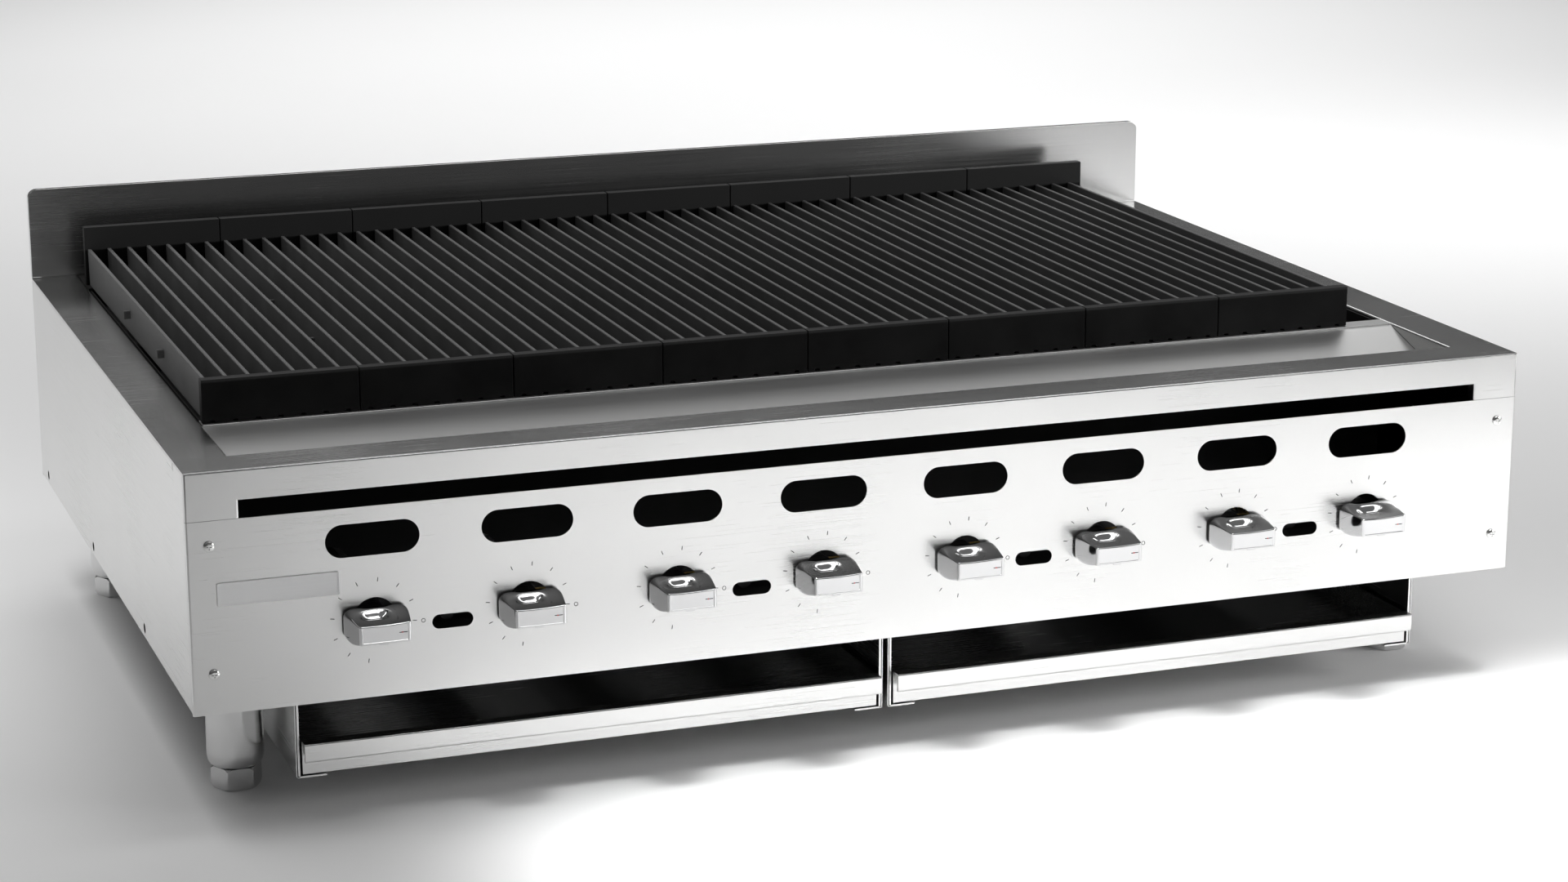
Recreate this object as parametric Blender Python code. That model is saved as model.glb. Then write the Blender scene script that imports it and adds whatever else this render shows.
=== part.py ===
"""Eight-burner countertop gas charbroiler, built as separate pieces.

Metres, +Z up.  X runs across the front, +Y runs from the front to the back.
The origin is on the floor, in the middle of the whole object's footprint.
Sizes below are measured from one datum: the middle of the body's front edge
at the level of the deck's top.  DATUM says where that point lies.
"""

import math

import bmesh
import bpy
from mathutils import Matrix, Vector

# Overall sizes
WIDTH = 1.1875
BODY_DEPTH = 0.776
BODY_HEIGHT = 0.1978
LEG_CLEARANCE = 0.1016
KNOB_REACH = 0.0355
PIPE_REACH = 0.035
HALF = WIDTH / 2
TOTAL_DEPTH = KNOB_REACH + BODY_DEPTH + PIPE_REACH
DATUM = Vector((0, KNOB_REACH - TOTAL_DEPTH / 2, BODY_HEIGHT + LEG_CLEARANCE))
FLOOR = -BODY_HEIGHT - LEG_CLEARANCE

# Sheet metal
SHEET = 0.0015
GAP = 0.0003
RETURN = 0.0032
CORNER_JOINT = 0.0013
SIDE_FLANGE = 0.0095
PANEL_SHELF = 0.014

# Deck and apron
SIDE_STRIP = 0.0442
FRONT_STRIP = 0.0445
OPENING_HALF = HALF - SIDE_STRIP
APRON = 0.0392
SLOT_HALF = 0.551
SLOT_TOP = -0.0244
SLOT_RETURN = 0.010
DECK_FLANGE = 0.036
FRONT_FLANGE = 0.008

# Control panel
BURNERS = 8
BURNER_PITCH = 0.1274
PORT_SIZE = (0.0765, 0.0272)
PORT_Z = -0.0663
KNOB_Z = -0.1343
KNOB_HOLE = 0.0175
KNOB_HOLE_RISE = 0.002
PILOT_SIZE = (0.034, 0.012)
PILOT_Z = -0.1409
PLATE_SIZE = (0.0972, 0.0189)
PLATE_CENTRE = (-0.5226, -0.0998)

# Backsplash
SPLASH_TOP = 0.0877
SPLASH_THICK = 0.006
SPLASH_CORNER = 0.009
SPLASH_LAP = 0.030

# Grates
GRATE_PITCH = 0.1319
GRATE_LEFT = -0.549
GRATE_JOINT = 0.0008
GRATE_FRONT = 0.150
GRATE_BACK = 0.737
GRATE_PLATE = 0.010
FRONT_PLATE_TOP = 0.0365
BACK_PLATE_TOP = 0.0565
FIN_TOP = 0.0350
FINS = 7
FIN_THICK = 0.0035
FIRST_FIN = 0.0046
TIE_PLACES = (0.335, 0.500)
TIE_DEPTH = 0.004
TIE_HIGH = 0.0070
LUG_LOW = 0.0145
LUG_HIGH = 0.0220
LUG_REACH = 0.0058

# Trough
TROUGH_REAR = 0.146
TROUGH_FLANGE = 0.018
TROUGH_STEP = 0.0015
TROUGH_FLOOR = -0.031
TROUGH_FRONT = 0.036
TROUGH_GUTTER = 0.012

# Firebox
LINER_OUT = 0.5477
LINER_FRONT = 0.158
LINER_BACK = 0.774
LINER_TOP = -0.0025
LINER_BOTTOM = -0.191
BURNER_HOLE = 0.0175
BURNER_RADIUS = 0.0127
BURNER_START = 0.0735
BURNER_END = 0.715
LEDGE_Z = -0.0925
LEDGE_DEPTH = 0.020
RADIANT_HALF = 0.046
RADIANT_RISE = 0.036
RADIANT_THICK = 0.003
REST_Y = 0.704

# Gas pipes
PIPE_RADIUS = 0.01335
PIPE_BORE = 0.0105
MANIFOLD_Y = 0.058
MANIFOLD_Z = -0.166
SUPPLY_X = 0.5705
UNION_Y = 0.110

# Base, legs and feet
BASE_BOTTOM = -0.196
BASE_THICK = 0.004
BASE_RAIL = 0.0945
LEG_X = 0.540
LEG_Y = (0.115, 0.690)
LEG_RADIUS = 0.0232
LEG_FLANGE = 0.029
FOOT_HEIGHT = 0.0185
FOOT_ACROSS = 0.037
STEM_RADIUS = 0.006
STEM_LENGTH = 0.040

# Drawers
HOUSING_IN = 0.0024
HOUSING_OUT = 0.5095
HOUSING_FRONT = 0.020
HOUSING_BACK = 0.720
HOUSING_BOTTOM = -0.2666
HOUSING_TOP = BASE_BOTTOM - GAP
HOUSING_RETURN = 0.0033
HOUSING_FLANGE = 0.025
TRAY_WIDTH = 0.4965
TRAY_BOTTOM = -0.2638
TRAY_TOP = -0.2350
TRAY_BACK = 0.715
LIP_REACH = 0.0115
LIP_DROP = 0.0155

CIRCLE = 20


# ---------------------------------------------------------------- mesh tools

def clear_scene():
    """Remove whatever objects the file opens with."""
    for thing in list(bpy.data.objects):
        bpy.data.objects.remove(thing)


def mesh_object(name, mesh_maker):
    """Make an object from a function that fills a bmesh."""
    bm = bmesh.new()
    mesh_maker(bm)
    bmesh.ops.recalc_face_normals(bm, faces=bm.faces)
    mesh = bpy.data.meshes.new(name)
    bm.to_mesh(mesh)
    bm.free()
    thing = bpy.data.objects.new(name, mesh)
    bpy.context.scene.collection.objects.link(thing)
    return thing


def box(low, high):
    """A block between two corners."""
    low = Vector(low)
    high = Vector(high)

    def fill(bm):
        bmesh.ops.create_cube(bm, size=1)
        for vert in bm.verts:
            vert.co = [low[i] + (vert.co[i] + 0.5) * (high[i] - low[i]) for i in range(3)]
    return mesh_object("block", fill)


def prism(outline, axis, start, end):
    """A flat outline pushed along an axis.

    The outline's two numbers are the other two axes in X, Y, Z order.
    """
    others = [i for i in range(3) if i != axis]

    def corner(point, along):
        place = Vector((0, 0, 0))
        place[others[0]] = point[0]
        place[others[1]] = point[1]
        place[axis] = along
        return place

    def fill(bm):
        first = [bm.verts.new(corner(point, start)) for point in outline]
        last = [bm.verts.new(corner(point, end)) for point in outline]
        bm.faces.new(first)
        bm.faces.new(list(reversed(last)))
        count = len(outline)
        for i in range(count):
            j = (i + 1) % count
            bm.faces.new((first[i], first[j], last[j], last[i]))
    return mesh_object("prism", fill)


def loft(rings):
    """A closed body through rings of points, capped at both ends."""
    def fill(bm):
        rows = [[bm.verts.new(point) for point in ring] for ring in rings]
        count = len(rows[0])
        for lower, upper in zip(rows, rows[1:]):
            for i in range(count):
                j = (i + 1) % count
                bm.faces.new((lower[i], lower[j], upper[j], upper[i]))
        bm.faces.new(rows[0])
        bm.faces.new(list(reversed(rows[-1])))
    return mesh_object("loft", fill)


def turned(profile, axis, sides=CIRCLE):
    """A body turned about an axis from (radius, distance along the axis) pairs."""
    others = [i for i in range(3) if i != axis]
    rings = []
    for radius, along in profile:
        ring = []
        for k in range(sides):
            angle = 2 * math.pi * (k + 0.5) / sides
            place = Vector((0, 0, 0))
            place[others[0]] = radius * math.cos(angle)
            place[others[1]] = radius * math.sin(angle)
            place[axis] = along
            ring.append(place)
        rings.append(ring)
    return loft(rings)


def rod(start, end, radius, sides=16):
    """A round bar between two points on a line along one axis."""
    start = Vector(start)
    end = Vector(end)
    axis = max(range(3), key=lambda i: abs(end[i] - start[i]))
    thing = turned([(radius, 0), (radius, end[axis] - start[axis])], axis, sides)
    thing.data.transform(Matrix.Translation(start))
    return thing


def bent_rod(points, radius, sides=6):
    """A round bar through a list of points, mitred at its bends."""
    points = [Vector(point) for point in points]
    runs = [(after - before).normalized() for before, after in zip(points, points[1:])]
    across = runs[0].orthogonal().normalized()
    rings = []
    for i, point in enumerate(points):
        before = runs[max(i - 1, 0)]
        after = runs[min(i, len(runs) - 1)]
        mean = (before + after).normalized()
        upright = across.cross(before)
        ring = []
        for k in range(sides):
            angle = 2 * math.pi * k / sides
            offset = (across * math.cos(angle) + upright * math.sin(angle)) * radius
            offset -= before * (offset.dot(mean) / before.dot(mean))
            ring.append(point + offset)
        rings.append(ring)
        across.rotate(before.rotation_difference(after))
    return loft(rings)


def obround(width, height, centre, steps=6):
    """The outline of a slot with round ends."""
    radius = height / 2
    reach = width / 2 - radius
    points = []
    for side, start in ((1, -90), (-1, 90)):
        for k in range(steps + 1):
            angle = math.radians(start + 180 * k / steps)
            across = centre[0] + side * reach + radius * math.cos(angle)
            points.append((across, centre[1] + radius * math.sin(angle)))
    return points


def round_hole(radius, centre, sides=20):
    """The outline of a round hole."""
    angles = [2 * math.pi * k / sides for k in range(sides)]
    return [(centre[0] + radius * math.cos(a), centre[1] + radius * math.sin(a)) for a in angles]


def rounded_panel(low, high, radius, corners, steps=5):
    """A rectangle's outline with the named corners rounded."""
    turns = {
        "low_left": (low[0] + radius, low[1] + radius, 180),
        "low_right": (high[0] - radius, low[1] + radius, 270),
        "top_right": (high[0] - radius, high[1] - radius, 0),
        "top_left": (low[0] + radius, high[1] - radius, 90),
    }
    square = {
        "low_left": (low[0], low[1]),
        "low_right": (high[0], low[1]),
        "top_right": (high[0], high[1]),
        "top_left": (low[0], high[1]),
    }
    points = []
    for name, (x, y, start) in turns.items():
        if name not in corners:
            points.append(square[name])
            continue
        for k in range(steps + 1):
            angle = math.radians(start + 90 * k / steps)
            points.append((x + radius * math.cos(angle), y + radius * math.sin(angle)))
    return points


def folded(points, thickness=SHEET):
    """The outline of a folded sheet whose one face follows the points.

    The thickness lies on the left of the direction of travel.
    """
    points = [Vector(point) for point in points]
    inner = []
    for i, point in enumerate(points):
        before = (point - points[i - 1]).normalized() if i else None
        after = (points[i + 1] - point).normalized() if i + 1 < len(points) else None
        before = before or after
        after = after or before
        left_before = Vector((-before.y, before.x))
        left_after = Vector((-after.y, after.x))
        mitre = (left_before + left_after).normalized()
        inner.append(point + mitre * (thickness / mitre.dot(left_before)))
    return [tuple(point) for point in points + inner[::-1]]


def joined(name, parts, cutters=()):
    """Union the parts into one body, cut it, and name it."""
    body = parts[0]
    if len(parts) > 1:
        apply_boolean(body, parts[1:], "UNION")
    if cutters:
        apply_boolean(body, list(cutters), "DIFFERENCE")
    body.name = name
    body.data.name = name
    return body


def apply_boolean(body, tools, operation):
    """Bake one Boolean of a body with a group of tools, then drop the tools."""
    group = bpy.data.collections.new("tools")
    for tool in tools:
        group.objects.link(tool)
    modifier = body.modifiers.new("join", "BOOLEAN")
    modifier.operation = operation
    modifier.operand_type = "COLLECTION"
    modifier.collection = group
    modifier.solver = "EXACT"
    graph = bpy.context.evaluated_depsgraph_get()
    mesh = bpy.data.meshes.new_from_object(body.evaluated_get(graph))
    body.modifiers.clear()
    body.data = mesh
    for tool in tools:
        bpy.data.objects.remove(tool)
    bpy.data.collections.remove(group)


def mirrored_pair(low, high):
    """The same block on the left and on the right."""
    right = box(low, high)
    left = box((-high[0], low[1], low[2]), (-low[0], high[1], high[2]))
    return [left, right]


def place(thing, at=(0, 0, 0)):
    """Put an object's origin at a point measured from the datum."""
    thing.location = DATUM + Vector(at)
    return thing


def smooth(thing, limit=35):
    """Shade round faces smooth and keep edges sharper than the limit."""
    thing.data.shade_smooth()
    thing.data.set_sharp_from_angle(angle=math.radians(limit))
    return thing


# ----------------------------------------------------------------- materials

def material(name, colour, metallic, roughness):
    """A Principled material."""
    made = bpy.data.materials.new(name)
    made.use_nodes = True
    shader = made.node_tree.nodes["Principled BSDF"]
    shader.inputs["Base Color"].default_value = (*colour, 1)
    shader.inputs["Metallic"].default_value = metallic
    shader.inputs["Roughness"].default_value = roughness
    return made


def make_materials():
    """The object's finishes by name."""
    return {
        "stainless": material("stainless", (0.62, 0.62, 0.61), 1.0, 0.32),
        "inner_steel": material("inner_steel", (0.05, 0.05, 0.05), 0.6, 0.6),
        "cast_iron": material("cast_iron", (0.02, 0.02, 0.02), 0.3, 0.6),
        "chrome": material("chrome", (0.8, 0.8, 0.8), 1.0, 0.12),
        "black_pipe": material("black_pipe", (0.03, 0.03, 0.03), 0.5, 0.5),
        "brass": material("brass", (0.6, 0.45, 0.2), 1.0, 0.3),
        "plate": material("plate", (0.7, 0.7, 0.7), 1.0, 0.25),
    }


def finish(thing, finish_material):
    """Give an object its material."""
    thing.data.materials.clear()
    thing.data.materials.append(finish_material)
    return thing


# ------------------------------------------------------------ sheet-metal body

def burner_places():
    """The X of each burner, left to right."""
    return [(i - (BURNERS - 1) / 2) * BURNER_PITCH for i in range(BURNERS)]


def pilot_places():
    """The X midway between each pair of burners that shares a pilot."""
    xs = burner_places()
    return [(xs[i] + xs[i + 1]) / 2 for i in range(0, BURNERS, 2)]


def top_frame():
    """Deck strips round the cooking opening, with the slotted front apron."""
    parts = [
        box((-HALF, 0, -APRON), (HALF, SHEET, 0)),
        box((-HALF, 0, -SHEET), (HALF, FRONT_STRIP, 0)),
        box((-OPENING_HALF - SHEET, FRONT_STRIP - SHEET, -FRONT_FLANGE),
            (OPENING_HALF + SHEET, FRONT_STRIP, 0)),
    ]
    parts += mirrored_pair((HALF - SHEET, 0, -APRON), (HALF, RETURN, 0))
    parts += mirrored_pair((OPENING_HALF, 0, -SHEET), (HALF, BODY_DEPTH, 0))
    parts += mirrored_pair((OPENING_HALF, FRONT_STRIP - SHEET, -DECK_FLANGE),
                           (OPENING_HALF + SHEET, BODY_DEPTH, 0))
    parts += mirrored_pair((SLOT_HALF, 0, -APRON), (SLOT_HALF + SHEET, SLOT_RETURN, SLOT_TOP))
    slot = box((-SLOT_HALF, -SHEET, -2 * APRON), (SLOT_HALF, 2 * SHEET, SLOT_TOP))
    return place(joined("top_frame", parts, [slot]))


def control_panel():
    """Front sheet with its returns, ports, knob holes and pilot ports."""
    top = -APRON - GAP
    return_half = HALF - SIDE_FLANGE - GAP
    parts = [
        box((-HALF, 0, -BODY_HEIGHT), (HALF, SHEET, top)),
        box((-return_half, 0, -BODY_HEIGHT), (return_half, PANEL_SHELF, SHEET - BODY_HEIGHT)),
    ]
    parts += mirrored_pair((HALF - SHEET, 0, -BODY_HEIGHT), (HALF, RETURN, top))
    cutters = []
    for x in burner_places():
        cutters.append(prism(obround(*PORT_SIZE, (x, PORT_Z)), 1, -SHEET, 2 * SHEET))
        hole = round_hole(KNOB_HOLE, (x, KNOB_Z + KNOB_HOLE_RISE))
        cutters.append(prism(hole, 1, -SHEET, 2 * SHEET))
    for x in pilot_places():
        cutters.append(prism(obround(*PILOT_SIZE, (x, PILOT_Z), 5), 1, -SHEET, 2 * SHEET))
    return place(joined("control_panel", parts, cutters))


def side_panel(name, side):
    """Side sheet with an inward flange along its bottom edge."""
    outline = folded([(HALF - SIDE_FLANGE, -BODY_HEIGHT), (HALF, -BODY_HEIGHT),
                      (HALF, -SHEET - GAP)])
    outline = [(side * x, z) for x, z in outline]
    return place(joined(name, [prism(outline, 1, RETURN + CORNER_JOINT, BODY_DEPTH)]))


def back_panel():
    """Rear sheet with the hole for the gas pipe."""
    sheet = box((-HALF, BODY_DEPTH + GAP, -BODY_HEIGHT), (HALF, BODY_DEPTH + GAP + SHEET, 0.001))
    hole = round_hole(PIPE_RADIUS + 0.002, (SUPPLY_X, MANIFOLD_Z))
    cutter = prism(hole, 1, BODY_DEPTH - SHEET, BODY_DEPTH + 3 * SHEET)
    return place(joined("back_panel", [sheet], [cutter]))


def backsplash():
    """Upstand folded back round its edges, with a lap down behind the body."""
    front = BODY_DEPTH + GAP
    bottom = 0.0013
    corners = ("top_left", "top_right")
    outer = rounded_panel((-HALF, bottom), (HALF, SPLASH_TOP), SPLASH_CORNER, corners)
    inner = rounded_panel((SHEET - HALF, bottom + SHEET), (HALF - SHEET, SPLASH_TOP - SHEET),
                          SPLASH_CORNER - SHEET, corners)
    body = prism(outer, 1, front, front + SPLASH_THICK)
    pocket = prism(inner, 1, front + SHEET, front + 2 * SPLASH_THICK)
    shell = joined("shell", [body], [pocket])
    lap_front = front + SHEET + GAP
    lap = box((-HALF + SPLASH_CORNER, lap_front, -SPLASH_LAP),
              (HALF - SPLASH_CORNER, lap_front + SHEET, bottom + SHEET))
    return place(joined("backsplash", [shell, lap]))


def nameplate():
    """Blank plate on the control panel."""
    x, z = PLATE_CENTRE
    half_width = PLATE_SIZE[0] / 2
    half_height = PLATE_SIZE[1] / 2
    outline = rounded_panel((x - half_width, z - half_height), (x + half_width, z + half_height),
                            0.0012, ("low_left", "low_right", "top_left", "top_right"), 3)
    return place(joined("nameplate", [prism(outline, 1, -GAP - 0.001, -GAP)]))


# ------------------------------------------------------------------- top works

def grate_mesh():
    """One grate section from its left front bottom corner, with side spacing lugs."""
    width = GRATE_PITCH - GRATE_JOINT
    depth = GRATE_BACK - GRATE_FRONT
    spacing = GRATE_PITCH / FINS
    parts = [
        box((0, 0, 0), (width, GRATE_PLATE, FRONT_PLATE_TOP)),
        box((0, depth - GRATE_PLATE, 0), (width, depth, BACK_PLATE_TOP)),
    ]
    centres = [FIRST_FIN + i * spacing for i in range(FINS)]
    for x in centres:
        parts.append(box((x - FIN_THICK / 2, GRATE_PLATE / 2, 0),
                         (x + FIN_THICK / 2, depth - GRATE_PLATE / 2, FIN_TOP)))
    for y in TIE_PLACES:
        start = y - GRATE_FRONT - TIE_DEPTH / 2
        end = start + TIE_DEPTH
        parts.append(box((centres[0], start, 0), (centres[-1], end, TIE_HIGH)))
        for x, side in ((centres[0], -1), (centres[-1], 1)):
            near, far = sorted((x, x + side * (FIN_THICK / 2 + LUG_REACH)))
            parts.append(box((near, start, LUG_LOW), (far, end, LUG_HIGH)))
    return joined("grate", parts)


def grates():
    """The row of grate sections, pushed to the left of the opening."""
    first = grate_mesh()
    things = [first] + [first.copy() for _ in range(BURNERS - 1)]
    for i, thing in enumerate(things):
        thing.name = f"grate_{i + 1}"
        if i:
            bpy.context.scene.collection.objects.link(thing)
        place(thing, (GRATE_LEFT + i * GRATE_PITCH, GRATE_FRONT, GAP))
    return things


def grease_trough():
    """Sloped trough from the grates' front flange to a gutter under the deck."""
    line = [
        (TROUGH_FRONT, -SHEET - 2 * GAP),
        (TROUGH_FRONT, TROUGH_FLOOR),
        (TROUGH_FRONT + TROUGH_GUTTER, TROUGH_FLOOR),
        (TROUGH_REAR, -TROUGH_STEP),
        (TROUGH_REAR, 0),
        (TROUGH_REAR + TROUGH_FLANGE, 0),
    ]
    outline = folded([(y, z) for y, z in reversed(line)])
    half = OPENING_HALF - GAP
    return place(joined("grease_trough", [prism(outline, 0, -half, half)]))


def rear_grate_rail():
    """Angle that carries the back ends of the grates."""
    back = BODY_DEPTH
    line = [(back - 0.064, 0), (back, 0), (back, -0.032)]
    outline = folded([(y, z) for y, z in reversed(line)], 0.002)
    half = OPENING_HALF - GAP
    return place(joined("rear_grate_rail", [prism(outline, 0, -half, half)]))


# --------------------------------------------------------------------- firebox

def firebox_liner():
    """Inner walls, with burner and pilot holes and a ledge for the radiants."""
    inner = LINER_OUT - SHEET
    parts = [box((-LINER_OUT, LINER_FRONT, LINER_BOTTOM),
                 (LINER_OUT, LINER_FRONT + SHEET, LINER_TOP))]
    parts += mirrored_pair((inner, LINER_FRONT, LINER_BOTTOM), (LINER_OUT, LINER_BACK, LINER_TOP))
    parts.append(box((-inner - SHEET / 2, LINER_FRONT + SHEET / 2, LEDGE_Z - SHEET),
                     (inner + SHEET / 2, LINER_FRONT + LEDGE_DEPTH, LEDGE_Z)))
    wall = (LINER_FRONT - SHEET, LINER_FRONT + 2 * SHEET)
    cutters = [prism(round_hole(BURNER_HOLE, (x, KNOB_Z), 12), 1, *wall)
               for x in burner_places()]
    cutters += [prism(round_hole(0.006, (x, pilot_tube_z()), 8), 1, *wall)
                for x in pilot_places()]
    return place(joined("firebox_liner", parts, cutters))


def burner_rest():
    """Rear angle with a hole for each burner and a ledge for the radiants."""
    inner = LINER_OUT - SHEET - GAP
    parts = [
        box((-inner, REST_Y, LINER_BOTTOM), (inner, REST_Y + SHEET, LEDGE_Z)),
        box((-inner, REST_Y - LEDGE_DEPTH, LEDGE_Z - SHEET), (inner, REST_Y + SHEET / 2, LEDGE_Z)),
    ]
    cutters = [prism(round_hole(BURNER_RADIUS + 0.0015, (x, KNOB_Z), 12), 1,
                     REST_Y - SHEET, REST_Y + 2 * SHEET) for x in burner_places()]
    return place(joined("burner_rest", parts, cutters))


def burner_mesh():
    """A tube burner with a bell mouth and a closed back end, on the Y axis."""
    wall = 0.0014
    length = BURNER_END - BURNER_START
    outside = [(0.0155, 0), (0.0120, 0.012), (0.0100, 0.030), (BURNER_RADIUS, 0.075),
               (BURNER_RADIUS, length)]
    inside = [(radius - wall, along) for radius, along in outside]
    inside[-1] = (BURNER_RADIUS - wall, length - wall)
    return joined("burner", [turned(inside[::-1] + outside, 1, 12)])


def radiant_mesh():
    """An inverted-V heat plate, on the Y axis, with its feet at height 0."""
    start = LINER_FRONT + SHEET + 0.001
    line = [(-RADIANT_HALF, 0), (0, RADIANT_RISE), (RADIANT_HALF, 0)]
    outline = folded(line[::-1], RADIANT_THICK)
    lowest = min(z for x, z in outline)
    outline = [(x, z - lowest) for x, z in outline]
    return joined("radiant", [prism(outline, 1, start, REST_Y - 0.001)])


def copies(first, stem, height, along=0.0):
    """One copy of a mesh at each burner."""
    things = []
    for i, x in enumerate(burner_places()):
        thing = first if i == 0 else first.copy()
        if i:
            bpy.context.scene.collection.objects.link(thing)
        thing.name = f"{stem}_{i + 1}"
        things.append(place(thing, (x, along, height)))
    return things


# ------------------------------------------------------------------- gas works

def pilot_tube_z():
    """The height of the pilot tubes where they pass the firebox wall."""
    return PILOT_Z - 0.012


def gas_manifold():
    """Gas pipe with its burner valves, stems, spuds and pilot valves."""
    corner = (SUPPLY_X, MANIFOLD_Y, MANIFOLD_Z)
    parts = [bent_rod([(-0.500, MANIFOLD_Y, MANIFOLD_Z), corner, (SUPPLY_X, UNION_Y, MANIFOLD_Z)],
                      PIPE_RADIUS, 12)]
    for x in burner_places():
        parts += [
            rod((x, 0.012, KNOB_Z), (x, 0.060, KNOB_Z), 0.0125, 12),
            rod((x, -0.014, KNOB_Z), (x, 0.020, KNOB_Z), 0.0031, 8),
            rod((x, 0.050, KNOB_Z), (x, 0.0705, KNOB_Z), 0.0055, 8),
            rod((x, 0.050, MANIFOLD_Z), (x, 0.050, KNOB_Z), 0.007, 8),
        ]
    for x in pilot_places():
        parts += [
            rod((x, 0.018, PILOT_Z), (x, 0.056, PILOT_Z), 0.0055, 8),
            rod((x, 0.052, MANIFOLD_Z), (x, 0.052, PILOT_Z), 0.004, 8),
        ]
    return smooth(place(joined("gas_manifold", parts)))


def gas_supply_pipe():
    """Pipe from the manifold's union to the open rear connection."""
    start = UNION_Y + GAP
    end = BODY_DEPTH + PIPE_REACH
    profile = [
        (PIPE_BORE, end - 0.040), (PIPE_BORE, end), (PIPE_RADIUS, end),
        (PIPE_RADIUS, start + 0.030), (0.0165, start + 0.028), (0.0165, start),
    ]
    return smooth(place(joined("gas_supply_pipe", [turned(profile, 1, 20)]),
                        (SUPPLY_X, 0, MANIFOLD_Z)))


def pilot_line():
    """Cross tube fed by the pilot valves, with a riser and head for each pilot."""
    tube = 0.003
    cross_y = 0.092
    head_y = 0.200
    low = pilot_tube_z()
    xs = pilot_places()
    parts = [bent_rod([(xs[0] - 0.01, cross_y, low), (xs[-1] + 0.01, cross_y, low)], tube)]
    for x in xs:
        feed = [(x, 0.0565, PILOT_Z), (x, 0.072, PILOT_Z), (x, cross_y - 0.004, low),
                (x, head_y, low), (x, head_y, -0.118)]
        parts.append(bent_rod(feed, tube * 0.9))
        parts.append(box((x - 0.006, head_y - 0.005, -0.122), (x + 0.006, head_y + 0.009, -0.113)))
    return place(joined("pilot_line", parts))


def rounded_section(half_x, half_z, radius, y, steps=3):
    """A rounded rectangle's points in a plane across the Y axis."""
    flat = rounded_panel((-half_x, -half_z), (half_x, half_z), radius,
                         ("low_left", "low_right", "top_right", "top_left"), steps)
    return [Vector((x, y, z)) for x, z in flat]


def knob_mesh():
    """A bar knob that flares to its base, bored for the valve stem."""
    sections = [
        (-0.0030, 0.0263, 0.0143, 0.0090),
        (-0.0100, 0.0258, 0.0136, 0.0070),
        (-0.0180, 0.0238, 0.0098, 0.0040),
        (-0.0260, 0.0222, 0.0082, 0.0020),
        (-KNOB_REACH, 0.0211, 0.0079, 0.0012),
    ]
    body = loft([rounded_section(half_x, half_z, radius, y)
                 for y, half_x, half_z, radius in sections])
    bore = rod((0, 0, 0), (0, -0.0165, 0), 0.0038, 12)
    return smooth(joined("knob", [body], [bore]))


# ---------------------------------------------------------------- base and legs

def base_frame():
    """Bottom ring with a middle bar, which carries the legs and the drawers."""
    low = BASE_BOTTOM
    high = BASE_BOTTOM + BASE_THICK
    outer = HALF - SHEET - GAP
    front = PANEL_SHELF + 2 * GAP
    back = BODY_DEPTH - GAP
    bar = 0.034
    parts = [
        box((-outer, front, low), (outer, front + bar, high)),
        box((-outer, back - 0.050, low), (outer, back, high)),
        box((-0.018, front, low), (0.018, back, high)),
    ]
    parts += mirrored_pair((outer - BASE_RAIL, front, low), (outer, back, high))
    return place(joined("base_frame", parts))


def leg_mesh():
    """A turned leg with a mounting flange, a round shoulder and a foot bore."""
    top = HOUSING_TOP
    bottom = FLOOR + FOOT_HEIGHT + GAP
    round_radius = 0.0115
    profile = [(LEG_FLANGE, top), (LEG_FLANGE, top - 0.003), (LEG_RADIUS, top - 0.0045),
               (LEG_RADIUS + 0.0006, bottom + round_radius)]
    for k in range(1, 5):
        angle = math.radians(90 * k / 4)
        inset = (1 - math.cos(angle)) * 0.006
        profile.append((LEG_RADIUS + 0.0006 - inset, bottom + round_radius * (1 - math.sin(angle))))
    bore = STEM_RADIUS + 0.0004
    profile += [(bore, bottom), (bore, bottom + STEM_LENGTH + 0.002)]
    return smooth(joined("leg", [turned(profile, 2)]))


def foot_mesh():
    """A hexagonal foot under a round threaded stem."""
    radius = FOOT_ACROSS / 2 / math.cos(math.radians(30))
    top = FLOOR + FOOT_HEIGHT
    chamfer = 0.0015
    hexagon = [(radius - chamfer, FLOOR), (radius, FLOOR + chamfer), (radius, top - chamfer),
               (radius - chamfer, top)]
    pad = turned(hexagon, 2, 6)
    stem = turned([(STEM_RADIUS, top - 0.004), (STEM_RADIUS, top + STEM_LENGTH)], 2, 16)
    return joined("foot", [pad, stem])


def legs_and_feet():
    """The four legs, each with its foot."""
    legs = []
    feet = []
    leg = leg_mesh()
    foot = foot_mesh()
    for row, y in zip(("front", "rear"), LEG_Y):
        for side, x in (("left", -LEG_X), ("right", LEG_X)):
            for first, made, stem in ((leg, legs, "leg"), (foot, feet, "foot")):
                thing = first.copy() if made else first
                if made:
                    bpy.context.scene.collection.objects.link(thing)
                thing.name = f"{stem}_{row}_{side}"
                made.append(place(thing, (x, y, 0)))
    return legs, feet


# --------------------------------------------------------------------- drawers

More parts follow.
